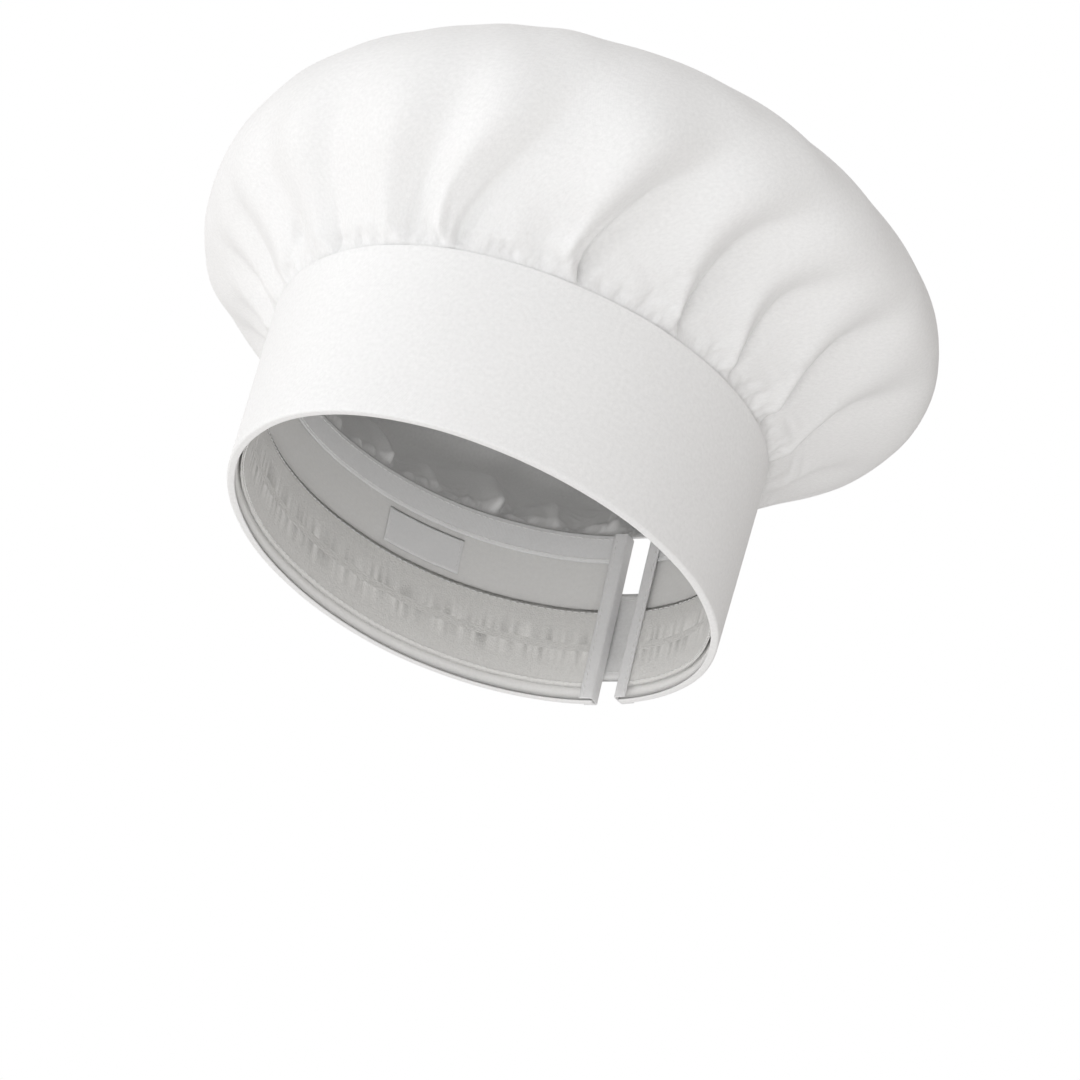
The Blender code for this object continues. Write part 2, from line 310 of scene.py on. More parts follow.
def strip(name, azimuths, edges, faces, material, rows=14, step=1.0, rough=0.0, wavy=True):
    """A length of cloth that follows the band.

    edges(azimuth) gives its lower and upper edge and faces(azimuth, height) its inner and outer face.
    rough is how far its pile stands in and out.
    """
    thickness = np.ptp(faces(np.mean(azimuths), np.mean(edges(np.mean(azimuths)))))
    columns, pinches = end_columns(*azimuths, step, thickness)
    draws = np.random.default_rng(7)
    sections, uvs = [], []
    for azimuth, pinch in zip(columns, pinches):
        low, high = edges(azimuth)
        heights, share = ring_outline(low, high, 0.0, 1.0, rows)
        inset = 0.5 * thickness * (1.0 - pinch)
        heights = np.clip(heights, low + inset, high - inset)
        inner, outer = faces(azimuth, heights)
        offsets = 0.5 * (inner + outer) + (share - 0.5) * pinch * (outer - inner)
        offsets = offsets + rough * draws.uniform(-1.0, 1.0, len(offsets)) * pinch
        if wavy:
            offsets = offsets + ripple(azimuth, heights)
        sections.append(band_point(azimuth, heights, offsets))
        uvs.append(np.stack([0.0 * heights + radians(azimuth) * MEAN_RADIUS, heights], -1))
    return sweep(name, np.array(sections), np.array(uvs), material)


def flat_edges(low, high):
    return lambda azimuth: (low, high)


def flat_faces(inner, outer):
    return lambda azimuth, height: (inner + 0.0 * height, outer + 0.0 * height)


# ---------------------------------------------------------------- materials


def add_node(tree, kind, inputs=(), **settings):
    """A node with its settings, and its inputs given as (name or index, value or output socket)."""
    made = tree.nodes.new(kind)
    for name, value in settings.items():
        setattr(made, name, value)
    for name, value in inputs:
        if isinstance(value, bpy.types.NodeSocket):
            tree.links.new(value, made.inputs[name])
        else:
            made.inputs[name].default_value = value
    return made


def calculate(tree, operation, first, second=0.0, third=0.0):
    inputs = [(0, first), (1, second), (2, third)]
    return add_node(tree, "ShaderNodeMath", inputs, operation=operation).outputs[0]


def noise(tree, place, scale, detail=2.0, roughness=0.5):
    inputs = [("Vector", place), ("Scale", scale), ("Detail", detail), ("Roughness", roughness)]
    return add_node(tree, "ShaderNodeTexNoise", inputs).outputs["Fac"]


def threads(tree, along, pitch):
    """A row of round threads: 0 between two and 1 on top of one."""
    wave = calculate(tree, "SINE", calculate(tree, "MULTIPLY", along, pi / pitch))
    return calculate(tree, "ABSOLUTE", wave)


def plain_weave(tree, u, v, pitch):
    """Warp and weft that pass over each other in turn."""
    warp = calculate(tree, "SINE", calculate(tree, "MULTIPLY", u, pi / pitch))
    weft = calculate(tree, "SINE", calculate(tree, "MULTIPLY", v, pi / pitch))
    return calculate(tree, "MULTIPLY_ADD", calculate(tree, "MULTIPLY", warp, weft), 0.5, 0.5)


def twill_weave(tree, u, v, pitch):
    """Slanting ribs, each broken into short floats."""
    rib = threads(tree, calculate(tree, "ADD", u, v), pitch * 1.6)
    floats = threads(tree, calculate(tree, "MULTIPLY_ADD", v, -0.6, u), pitch)
    return calculate(tree, "MULTIPLY_ADD", rib, 0.65, calculate(tree, "MULTIPLY", floats, 0.35))


def rib_weave(tree, u, v, pitch):
    """A woven tape's cross ribs, with a fine thread along it."""
    across = threads(tree, u, pitch)
    fine = threads(tree, v, pitch * 0.45)
    return calculate(tree, "MULTIPLY_ADD", across, 0.7, calculate(tree, "MULTIPLY", fine, 0.3))


def satin_weave(tree, u, v, pitch):
    """Long smooth floats side by side."""
    return threads(tree, calculate(tree, "MULTIPLY_ADD", u, 0.08, v), pitch)


WEAVES = {"plain": plain_weave, "twill": twill_weave, "rib": rib_weave, "satin": satin_weave}


def thread_height(tree, place, weave, pitch):
    """The height of the threads at a place on the cloth, or of the pile where it isn't woven."""
    if weave not in WEAVES:
        return noise(tree, place, 0.35 / pitch, 4.0, 0.75)
    split = add_node(tree, "ShaderNodeSeparateXYZ", [(0, place)])
    drift = calculate(tree, "MULTIPLY", noise(tree, place, 60.0), 2.0 * pitch)
    u = calculate(tree, "ADD", split.outputs[0], drift)
    v = calculate(tree, "ADD", split.outputs[1], drift)
    return WEAVES[weave](tree, u, v, pitch)


def mottle_and_gap_shade(tree, place, height, colour, mottle):
    """The cloth's colour with faint patches and slubs, and painted shade that darkens the gaps between
    threads.
    """
    patches = noise(tree, place, 9.0, 3.0, 0.6)
    slubs = noise(tree, place, 650.0, 3.0, 0.7)
    tone = calculate(tree, "MULTIPLY_ADD", slubs, 0.55, calculate(tree, "MULTIPLY", patches, 0.2))
    # Painted shade: the tone follows the threads' height, so the gaps between threads are painted darker.
    tone = calculate(tree, "MULTIPLY_ADD", height, 0.25, tone)
    tone = calculate(tree, "MULTIPLY_ADD", tone, GRAIN_AND_GAP_SHADE_CONTRAST, 0.5 - 0.5 * GRAIN_AND_GAP_SHADE_CONTRAST)
    dark = tuple(c * (1.0 - 2.0 * mottle) for c in colour)
    light = tuple(min(1.0, c * (1.0 + mottle)) for c in colour)
    ramp = add_node(tree, "ShaderNodeMix", [(0, tone)], data_type="RGBA")
    ramp.inputs["A"].default_value = (*dark, 1.0)
    ramp.inputs["B"].default_value = (*light, 1.0)
    return ramp.outputs["Result"]


def cloth_material(name, colour, weave, pitch, relief, roughness, sheen, fuzz=0.35, mottle=0.03):
    """White cloth: threads and lint in relief, faint tone by place, and painted shade between threads.

    pitch is the distance between threads and relief their height, both in metres.
    """
    material = bpy.data.materials.new(name)
    material.use_nodes = True
    tree = material.node_tree
    shader = tree.nodes["Principled BSDF"]
    place = add_node(tree, "ShaderNodeUVMap", uv_map="cloth").outputs[0]
    lint = noise(tree, place, 0.7 / pitch, 3.0, 0.7)
    kept = calculate(tree, "MULTIPLY", thread_height(tree, place, weave, pitch), 1.0 - fuzz)
    height = calculate(tree, "MULTIPLY_ADD", lint, fuzz, kept)
    inputs = [("Height", height), ("Strength", 0.6), ("Distance", relief)]
    bump = add_node(tree, "ShaderNodeBump", inputs)
    rough = calculate(tree, "MULTIPLY_ADD", lint, 0.12, roughness - 0.06)
    tree.links.new(mottle_and_gap_shade(tree, place, height, colour, mottle), shader.inputs["Base Color"])
    tree.links.new(rough, shader.inputs["Roughness"])
    tree.links.new(bump.outputs[0], shader.inputs["Normal"])
    shader.inputs["Specular IOR Level"].default_value = 0.25
    shader.inputs["Sheen Weight"].default_value = sheen
    shader.inputs["Sheen Roughness"].default_value = 0.5
    return material


def make_materials():
    """All the cloths, by a short name: weave, pitch and relief in mm, roughness, sheen, and more."""
    rows = {
        "crown": ("crown_cotton", WHITE, "twill", 0.42, 0.12, 0.86, 0.12, 0.35, 0.045),
        "band": ("band_cotton", WHITE, "twill", 0.42, 0.10, 0.84, 0.10, 0.35, 0.045),
        "lining": ("lining_cotton", LINING_WHITE, "plain", 0.36, 0.06, 0.9, 0.08),
        "terry": ("terry_loops", TERRY_WHITE, "pile", 0.5, 0.5, 0.96, 0.25, 0.5, 0.05),
        "felt": ("stiffening_felt", LINING_WHITE, "pile", 0.3, 0.15, 0.95, 0.1, 0.6, 0.05),
        "tape": ("binding_tape", TAPE_WHITE, "rib", 0.55, 0.12, 0.78, 0.1),
        "satin": ("label_satin", TAPE_WHITE, "satin", 0.22, 0.04, 0.45, 0.3, 0.15, 0.02),
        "thread": ("sewing_thread", THREAD_WHITE, "satin", 0.25, 0.08, 0.6, 0.1),
        "nylon": ("nylon_hooks", TAPE_WHITE, "satin", 0.3, 0.03, 0.38, 0.0, 0.2, 0.02),
        "loops": ("nylon_loops", TAPE_WHITE, "pile", 0.2, 0.1, 0.7, 0.3, 0.5, 0.04),
    }
    made = {}
    for key, (name, colour, weave, pitch, relief, *rest) in rows.items():
        made[key] = cloth_material(name, colour, weave, pitch * MM, relief * MM, *rest)
    return made


# ---------------------------------------------------------------- crown


class Fold:
    """A valley that runs from the seam up the crown, and may wander in azimuth as it goes.

    The cloth crests on one side of it: that wall is steep, and the other is gentle.
    """

    def __init__(self, azimuths, length, depth, width=1.0, lean=0.0, crest=0.0):
        self.azimuths = azimuths
        self.length = length
        self.depth = depth
        self.width = width
        self.lean = lean
        self.crest = crest

    def shape(self, azimuth, climb, spread):
        """The valley's depth over the grid, from 0 to 1 of its own, and the height of its crest."""
        share = np.clip(climb / self.length, 0.0, 1.0)
        places = share.ravel() * (len(self.azimuths) - 1)
        centre = catmull(np.array(self.azimuths, float), places).reshape(share.shape)
        across = ((azimuth - centre + 180.0) % 360.0 - 180.0) * spread
        width = self.width * (1.3 * MM + 0.125 * self.length * share**0.8)
        blunt = 0.5 * width
        valley = np.exp(-(np.sqrt(across**2 + blunt**2) - blunt) / width)
        ridge = np.exp(-(((across + 2.1 * width) / (1.35 * width)) ** 2))
        open_up = 0.25 + 0.75 * smooth(climb, 0.0, min(7.0 * MM, 0.4 * self.length))
        fade = 1.0 - smooth(climb, 0.35 * self.length, self.length)
        sink = 1.0 - smooth(climb, 0.30 * self.length, 0.85 * self.length)
        return valley * open_up * fade, self.crest * ridge * open_up * sink


def chosen_folds():
    """The folds that show from the front left, and their like on the other side.

    Each has its azimuths from the seam up, its length in mm and its depth before FOLD_DEPTH.
    """
    long_rows = [
        ((327, 343), 34, 1.4), ((334, 338), 74, 2.1), ((318, 325), 68, 2.3), ((304, 310), 56, 2.6),
        ((292, 294), 44, 2.2), ((348, 357), 86, 2.6), ((9, 14, 18), 104, 3.1), ((21, 30, 36), 108, 3.9),
        ((37, 41), 34, 2.0), ((49, 51, 55, 62), 104, 5.7), ((74, 69, 75), 96, 5.4),
        ((91, 84, 86), 76, 4.6), ((110, 100, 96), 86, 4.9), ((127, 119, 115), 80, 4.2),
        ((146, 139), 52, 2.8), ((161, 157), 66, 3.2), ((174, 171), 46, 2.4), ((190, 195), 66, 3.2),
        ((204, 212), 52, 2.6), ((219, 226), 74, 3.6), ((233, 241), 54, 2.6),
        ((247, 250, 256), 78, 3.8), ((262, 268), 50, 2.6), ((277, 281), 70, 3.4),
    ]
    thin_rows = [
        ((0, 4), 48, 1.6), ((18, 20), 40, 1.6), ((340, 346), 42, 1.4), ((62, 65), 32, 1.6),
        ((100, 96), 36, 1.8), ((355, 356), 18, 1.5), ((14, 15), 16, 1.4), ((28, 30), 20, 1.6),
        ((44, 46), 24, 1.8), ((57, 57), 18, 1.6), ((68, 66), 20, 1.8), ((82, 80), 20, 1.7),
        ((120, 118), 18, 1.6), ((225, 226), 20, 1.6), ((255, 257), 22, 1.6), ((288, 290), 20, 1.6),
    ]
    folds = []
    for azimuths, length, depth in long_rows:
        sunk = FOLD_DEPTH * depth * MM
        folds.append(Fold(azimuths, length * MM, sunk, FOLD_WIDTH, FOLD_LEAN, FOLD_CREST))
    for azimuths, length, depth in thin_rows:
        folds.append(Fold(azimuths, length * MM, depth * MM, 0.5, 0.0, 0.3))
    return folds


def gathers(draws, count, length, depth, width):
    """Shorter folds all round the seam, unevenly spaced."""
    folds = []
    for index in range(count):
        azimuth = 360.0 * (index + draws.uniform(-0.35, 0.35)) / count
        reach = length * draws.uniform(0.65, 1.35) * MM
        wander = draws.uniform(-2.5, 2.5)
        dent = depth * draws.uniform(0.5, 1.25) * MM
        folds.append(Fold((azimuth, azimuth + wander), reach, dent, width, draws.uniform(-0.5, 0.5)))
    return folds


def crown_folds(fine=True):
    """All the folds; the finest only where the grid can hold them."""
    draws = np.random.default_rng(11)
    folds = chosen_folds() + gathers(draws, *SHORT_FOLDS)
    return folds + gathers(draws, *FINEST_FOLDS) if fine else folds


def soft_unevenness(azimuth, climb):
    """Slack in the cloth: broad, shallow swells that don't repeat."""
    draws = np.random.default_rng(3)
    total = 0.0
    for cycles, rows in ((3, 9), (5, 16), (8, 14), (13, 22), (19, 30), (27, 45)):
        phase, other = draws.uniform(0.0, 2 * pi, 2)
        strength = 1.5 / cycles**0.55
        total = total + strength * np.sin(np.radians(azimuth) * cycles + phase + rows * climb) * np.sin(
            rows * climb + other
        )
    return total * MM


def crown_rows():
    """Rises of the rows above the seam: close together where the gathers are fine."""
    near = np.linspace(0.0, 0.30, 26)[:-1]
    middle = np.linspace(0.30, 1.0, 24)[:-1]
    upper = 1.0 + np.linspace(0.0, 1.0, UPPER_ROWS + 1)[:-1]
    return np.concatenate([near, middle, upper])


def row_sums(steps):
    """The sum of the steps from the first row up to each row, starting at nothing."""
    return np.concatenate([np.zeros((1, steps.shape[1])), np.cumsum(steps, axis=0)])


def crown_shape(azimuth, rises, folds):
    """The folded crown's points on a grid, with the length climbed from the seam and to the top."""
    base = crown_base(azimuth, rises)
    climb = row_sums(np.linalg.norm(np.diff(base, axis=0), axis=-1))
    along, outward, column = grid_directions(base)
    spread = column * len(azimuth) / 360.0
    azimuth = azimuth[None, :] + 0.0 * climb
    total = climb[-1:] + np.linalg.norm(base[-1:] - [0.0, APEX_SHIFT_BACK, CROWN_TOP_HEIGHT], axis=-1)

    lift = SEAM_PUFF * smooth(climb, 0.0, 9 * MM) * (1.0 - 0.75 * smooth(climb, 9 * MM, 60 * MM))
    calm_top = (1.0 - 0.65 * smooth(climb / total, 0.35, 0.8)) * (1.0 - smooth(climb / total, 0.7, 0.95))
    lift = lift + soft_unevenness(azimuth, climb) * smooth(climb, 8 * MM, 40 * MM) * calm_top
    shove = 0.0 * lift
    for fold in folds:
        valley, crest = fold.shape(azimuth, climb, spread)
        lift = lift + fold.depth * (crest - valley)
        shove = shove + fold.lean * fold.depth * valley
    tuck = (SEAM_OFFSET + 0.5 * CROWN_CLOTH) * (1.0 - smooth(climb, 0.0, 5 * MM))
    points = base + outward * (lift * smooth(climb, -1 * MM, 3 * MM) + tuck)[..., None]
    return points + along * (shove * smooth(climb, 0.0, 4 * MM))[..., None], climb, total


def flat_cut(azimuth, rises):
    """Where the cloth would lie if the seam didn't gather it: wider round, as long from seam to top."""
    base = crown_base(azimuth, rises)
    steps = np.linalg.norm(np.diff(base, axis=0), axis=-1)
    spread = 1.0 + GATHER * (1.0 - smooth(rises, 0.0, GATHER_REACH))[:, None]
    centre = np.array([0.0, UPPER_SHIFT_BACK])
    level = centre + (base[..., :2] - centre) * spread[..., None]
    across = np.linalg.norm(np.diff(level, axis=0), axis=-1)
    climbing = np.sqrt(np.maximum(steps**2 - across**2, (0.2 * steps) ** 2))
    climbing = climbing * np.sign(np.diff(base[..., 2], axis=0) + 1e-9)
    return np.concatenate([level, (BAND_HEIGHT + row_sums(climbing))[..., None]], axis=-1)


def catmull(values, places):
    """Values along the first axis at fractional places, on a smooth curve through them."""
    whole = np.clip(np.floor(places).astype(int), 0, len(values) - 2)
    share = (places - whole).reshape(-1, *([1] * (values.ndim - 1)))
    before, after = np.maximum(whole - 1, 0), np.minimum(whole + 2, len(values) - 1)
    a, b, c, d = values[before], values[whole], values[whole + 1], values[after]
    slope, other = 0.5 * (c - a), 0.5 * (d - b)
    cubic = 2.0 * b - 2.0 * c + slope + other
    square = -3.0 * b + 3.0 * c - 2.0 * slope - other
    return ((cubic * share + square) * share + slope) * share + b


def cloth_trial(points, cut):
    """A grid closed round that starts as cut; a shape key draws it in to its gathered points."""
    rows, columns = points.shape[:2]
    faces = []
    for low in range(0, (rows - 1) * columns, columns):
        for here in range(columns):
            beside, high = (here + 1) % columns, low + columns
            faces.append((low + here, low + beside, high + beside, high + here))
    mesh = bpy.data.meshes.new("crown_trial")
    mesh.from_pydata(cut.reshape(-1, 3).tolist(), [], faces)
    trial = put_in_scene("crown_trial", mesh)
    trial.shape_key_add(name="Basis")
    key = trial.shape_key_add(name="gathered")
    key.data.foreach_set("co", points.reshape(-1, 3).astype(np.float32).ravel())
    for value, frame_number in ((0.0, 1), (1.0, CLOTH_DRAW_IN)):
        key.value = value
        key.keyframe_insert("value", frame=frame_number)
    return trial


def set_cloth(trial, held):
    """Blender's cloth on the trial grid, with each point held as firmly as held says: 1 is sewn down."""
    group = trial.vertex_groups.new(name="held")
    weights = np.round(held.ravel(), 2)
    for weight in np.unique(weights):
        group.add([int(number) for number in np.flatnonzero(weights == weight)], float(weight), "REPLACE")
    cloth = trial.modifiers.new("cloth", "CLOTH")
    chosen = {
        "quality": CLOTH_QUALITY, "mass": 0.15, "air_damping": 2.0,
        "tension_stiffness": 25.0, "compression_stiffness": 25.0, "shear_stiffness": 5.0,
        "tension_damping": 1.0, "compression_damping": 1.0, "shear_damping": 1.0,
        "bending_stiffness": CLOTH_BENDING, "bending_damping": 0.5,
        "use_pressure": True, "uniform_pressure_force": CLOTH_PRESSURE,
        "vertex_group_mass": "held", "pin_stiffness": 1.0,
    }
    for name, value in chosen.items():
        setattr(cloth.settings, name, value)
    cloth.settings.effector_weights.gravity = 0.0
    cloth.collision_settings.use_self_collision = False
    cloth.collision_settings.use_collision = False
    cloth.point_cache.frame_end = CLOTH_FRAMES


def run_cloth(points, cut, held):
    """Where the simulated cloth ends, on the same grid as its gathered points."""
    trial = cloth_trial(points, cut)
    set_cloth(trial, held)
    for frame_number in range(1, CLOTH_FRAMES + 1):
        bpy.context.scene.frame_set(frame_number)
    evaluated = trial.evaluated_get(bpy.context.evaluated_depsgraph_get())
    moved = np.empty(points.size, np.float32)
    evaluated.data.vertices.foreach_get("co", moved)
    bpy.context.scene.frame_set(1)
    mesh = trial.data
    bpy.data.objects.remove(trial, do_unlink=True)
    bpy.data.meshes.remove(mesh)
    return moved.reshape(points.shape).astype(float)


def draped_move(azimuth, rises):
    """How far the simulated cloth moves each point of the fine grid from the laid folds."""
    coarse_azimuth = np.arange(CLOTH_COLUMNS) * 360.0 / CLOTH_COLUMNS
    coarse_rises = np.concatenate([np.linspace(0.0, 1.0, 36)[:-1], 1.0 + np.linspace(0.0, 0.9, 22)])
    points, climb, _ = crown_shape(coarse_azimuth, coarse_rises, crown_folds(fine=False))
    cut = flat_cut(coarse_azimuth, coarse_rises)
    held = CLOTH_GUIDE + (1.0 - CLOTH_GUIDE) * smooth(climb, *CLOTH_FIRM)
    held[0] = 1.0
    moved = run_cloth(points, cut, held) - points
    reach = np.linalg.norm(moved, axis=-1, keepdims=True)
    moved = moved * np.minimum(1.0, CLOTH_CAP / np.maximum(reach, 1e-9))
    moved = moved * (1.0 - smooth(climb, *CLOTH_FADE))[..., None]
    by_row = catmull(moved, np.interp(rises, coarse_rises, np.arange(len(coarse_rises))))
    around = np.concatenate([by_row[:, -2:], by_row, by_row[:, :3]], axis=1).swapaxes(0, 1)
    return catmull(around, azimuth / 360.0 * CLOTH_COLUMNS + 2.0).swapaxes(0, 1)


def crown_surface():
    """Points of the crown's outer side, rows by columns, with the length climbed from the seam."""
    azimuth = np.arange(CROWN_COLUMNS) * 360.0 / CROWN_COLUMNS
    rises = crown_rows()
    points, climb, total = crown_shape(azimuth, rises, crown_folds())
    points = points + draped_move(azimuth, rises)

    start = np.where(np.abs((azimuth - 180.0)) < 8.0, -0.4 * MM, CROWN_TUCK)
    soften = np.ones(15) / 15.0
    start = np.convolve(np.concatenate([start[-7:], start, start[:7]]), soften, "valid")
    tail = []
    for share in (1.0, 0.6, 0.25):
        height = BAND_HEIGHT - np.maximum(start * share, -0.3 * MM)
        tail.append(band_point(azimuth, height, SEAM_OFFSET + 0.5 * CROWN_CLOTH))
    tail_climb = -np.outer((1.0, 0.6, 0.25), start)
    return np.concatenate([np.array(tail), points]), np.concatenate([tail_climb, climb]), total


def staged_grid(rows, columns, stages):
    """Vertex numbers of each row, and faces between rows.

    Fewer columns are kept from each stage's row on, where the cloth narrows to the top.
    """
    strides = np.ones(rows, int)
    for first_row, stride in stages:
        strides[first_row:] = stride
    numbers, kept, total = [], [], 0
    for row in range(rows):
        picked = np.arange(0, columns, strides[row])
        kept.append(row * columns + picked)
        numbers.append(total + np.arange(len(picked)))
        total += len(picked)
    faces = []
    for row in range(rows - 1):
        low, high = numbers[row], numbers[row + 1]
        if len(low) == len(high):
            for here in range(len(low)):
                beside = (here + 1) % len(low)
                faces.append((low[here], low[beside], high[beside], high[here]))
            continue
        for here in range(len(high)):
            beside = (here + 1) % len(high)
            first, second, third = low[2 * here], low[2 * here + 1], low[2 * beside]
            faces.append((first, second, high[here]))
            faces.append((second, high[beside], high[here]))
            faces.append((second, third, high[beside]))
    return np.concatenate(kept), numbers, faces, total


def close_top(faces, ring, apex):
    for here in range(len(ring)):
        faces.append((ring[here], ring[(here + 1) % len(ring)], apex))


def build_crown(materials):
    """The crown as one closed sheet of thin cloth, from its tuck in the band's seam to the top."""
    points, climb, total = crown_surface()
    rows, columns = climb.shape
    _, outward, _ = grid_directions(points)
    inner = points - outward * CROWN_CLOTH
    azimuth = np.radians(np.arange(columns) * 360.0 / columns)[None, :]
    radius = total - climb
    uv = np.stack([radius * np.sin(azimuth), -radius * np.cos(azimuth)], -1)

    first_upper = rows - UPPER_ROWS
    stages = [(31, 2), (first_upper + 20, 4), (first_upper + 34, 8)]
    kept, numbers, faces, count = staged_grid(rows, columns, stages)
    outer_apex = np.array([0.0, APEX_SHIFT_BACK, CROWN_TOP_HEIGHT])
    inner_apex = outer_apex - [0.0, 0.0, CROWN_CLOTH]
    close_top(faces, numbers[-1], count)
    back = [tuple(number + count + 1 for number in face[::-1]) for face in faces]
    rim = numbers[0]
    for here in range(columns):
        beside = (here + 1) % columns
        inside, beyond = rim[here] + count + 1, rim[beside] + count + 1
        back.append((rim[here], inside, beyond, rim[beside]))
    vertices = np.concatenate(
        [points.reshape(-1, 3)[kept], [outer_apex], inner.reshape(-1, 3)[kept], [inner_apex]]
    )
    flat = np.concatenate([uv.reshape(-1, 2)[kept], [[0.0, 0.0]]])
    faces = [tuple(int(number) for number in face) for face in faces + back]
    return make_piece("crown_cloth", vertices, faces, np.concatenate([flat, flat]), materials["crown"])


# ---------------------------------------------------------------- band


def build_band_cloth(materials):
    """The band's outer cloth, folded under at the bottom and in at the top edge."""
    turn_in, under_reach = HEM_STEP - 0.2 * MM, -2.5 * MM
    middle = 0.5 * (SHELL[0] + SHELL[1])
    half = -middle
    arc = np.linspace(0.0, 0.5 * pi, 6)
    low, top = 2 * half + 0.1 * MM, BAND_HEIGHT - half
    loop_over = [(top + half * sin(t), middle + half * cos(t)) for t in np.linspace(pi, 0.0, 8)]
    face = [(height, 0.0) for height in np.linspace(top, low, 40)[1:-1]]
    corner = [(low - low * sin(t), -low + low * cos(t)) for t in arc]
    under = [(0.0, offset) for offset in np.linspace(-low, under_reach, 5)[1:]]
    bend = 0.5 * turn_in
    end = [(bend - bend * cos(t), under_reach - bend * sin(t)) for t in 2 * arc][1:-1]
    back_under = [(turn_in, offset) for offset in np.linspace(under_reach, SHELL[0] - 0.1 * MM, 5)]
    back = [(height, SHELL[0]) for height in np.linspace(turn_in + 0.15 * MM, top, 40)[:-1]]
    loop = np.array(loop_over + face + corner + under + end + back_under + back)[::-1]
    sections, uvs = [], []
    for azimuth in np.linspace(VENT_FIRST, VENT_LAST, 529):
        sections.append(band_point(azimuth, loop[:, 0], loop[:, 1] + ripple(azimuth, loop[:, 0])))
        reach = np.full(len(loop), radians(azimuth) * MEAN_RADIUS)
        uvs.append(np.stack([reach, loop[:, 0] + loop[:, 1]], -1))
    return sweep("band_cloth", np.array(sections), np.array(uvs), materials["band"])


def round_head(name, span, layer, material, **more):
    azimuths = (VENT_FIRST, VENT_LAST)
    return strip(name, azimuths, flat_edges(*span), flat_faces(*layer), material, **more)


def build_band_layers(materials):
    """Lining, sweatband, seam tape and label, inside the band."""
    span = (HEM_STEP, BAND_HEIGHT)
    lining = round_head("band_lining_cloth", span, LINING, materials["lining"], rows=30)
    pile = {"rows": 34, "step": 0.5, "rough": 0.09 * MM}
    terry = round_head("sweatband_terry", SWEATBAND_SPAN, SWEATBAND, materials["terry"], **pile)
    tape = round_head("seam_binding_tape", SEAM_TAPE_SPAN, SEAM_TAPE, materials["tape"], rows=10)
    edges, faces = flat_edges(*LABEL_SPAN), flat_faces(*LABEL)
    label = strip("care_label_satin", LABEL_AZIMUTHS, edges, faces, materials["satin"], rows=16)
    return {"band_lining": lining, "sweatband": terry, "seam_binding": tape, "care_label": label}


def build_vent_tape(name, side, material):
    """A tape folded round the band's layers at one edge of the back vent."""
    inside, outside = VENT_TAPE_INSIDE, VENT_TAPE_OUTSIDE
    far, near = (180.0 + side * reach for reach in VENT_TAPE_REACH)
    middle, half = 0.5 * (outside + inside), 0.5 * (outside - inside)
    bend = side * VENT_TAPE_BEND
    path = [(azimuth, inside) for azimuth in np.linspace(far, near, 7)[:-1]]
    turns = np.linspace(-0.5 * pi, 0.5 * pi, 13)
    path += [(near - bend * cos(turn), middle + half * sin(turn)) for turn in turns]
    path += [(azimuth, outside) for azimuth in np.linspace(near, far, 7)[1:]]
    path = np.array(path)
    if side > 0:
        path = path[::-1]
    metres = np.stack([arc_metres(path[:, 0]), path[:, 1]], -1)
    direction = unit(np.gradient(metres, axis=0))
    sections, uvs = [], []
    for place, (ahead, out) in zip(metres, direction):
        heights, share = ring_outline(VENT_TAPE_BOTTOM, BAND_HEIGHT, 0.0, VENT_TAPE, 24)
        azimuths = arc_degrees(place[0] + out * share)
        offsets = place[1] - ahead * share
        sections.append(band_point(azimuths, heights, offsets + ripple(azimuths, heights)))
        uvs.append(np.stack([place.sum() + 0.0 * heights, heights], -1))
    return sweep(name, np.array(sections), np.array(uvs), material)


# ---------------------------------------------------------------- closure


def tip_edges(low, high, tip, corner):
    """Edges of a strip whose free end has rounded corners."""

    def edges(azimuth):
        travel = arc_metres(azimuth - tip)
        short = max(0.0, corner - travel)
        cut = corner - (corner * corner - short * short) ** 0.5
        return low + cut, high - cut

    return edges


def pressed_faces(layer, meet, edges, reach, ends):
    """Faces of a ply that closes on its partner over the last few millimetres before its edges."""

    def faces(azimuth, height):
        low, high = edges(azimuth)
        inner, outer = layer
        to_edge = np.minimum(height - low, high - height)
        for end in ends:
            to_edge = np.minimum(to_edge, arc_metres(abs(azimuth - end)))
        ease = 1.0 - smooth(to_edge, 0.0, reach)
        drop = (meet - 0.5 * (inner + outer)) * ease
        return inner + drop, outer + drop

    return faces


def build_tab(materials):
    """The free tab: two plies that meet at its edges round the stiffener."""
    edges = tip_edges(*STRAP_SPAN, STRAP_TIP, TIP_CORNER)
    middle = 0.5 * (TAB_UNDER[1] + TAB_OVER[0])
    gap = 0.33 * MM
    azimuths = (STRAP_TIP, STRAP_ROOT)
    plies = []
    for name, layer, meet in (("underside", TAB_UNDER, middle - gap), ("top", TAB_OVER, middle + gap)):
        faces = pressed_faces(layer, meet, edges, 2.2 * MM, (STRAP_TIP,))
        name = "tab_" + name + "_cloth"
        plies.append(strip(name, azimuths, edges, faces, materials["band"], 26, 0.5, wavy=False))
    under, over = plies
    return over, under


def base_faces(azimuth, height):
    """The sewn base climbs from the band to the tab's level."""
    ease = 1.0 - smooth(azimuth, STRAP_ROOT, BASE_END)
    inner = BASE_SEWN[0] + (TAB_UNDER[0] - BASE_SEWN[0]) * ease
    outer = BASE_SEWN[1] + (TAB_OVER[1] - BASE_SEWN[1]) * ease
    to_edge = np.minimum(height - STRAP_SPAN[0], STRAP_SPAN[1] - height)
    to_edge = np.minimum(to_edge, arc_metres(BASE_END - azimuth))
    thin = 1.0 - 0.45 * (1.0 - smooth(to_edge, 0.0, 2.2 * MM))
    return inner + 0.0 * height, inner + (outer - inner) * thin


def build_base(materials):
    azimuths, edges = (STRAP_ROOT + 0.4, BASE_END), flat_edges(*STRAP_SPAN)
    return strip("strap_base_cloth", azimuths, edges, base_faces, materials["band"], 26, 0.5)


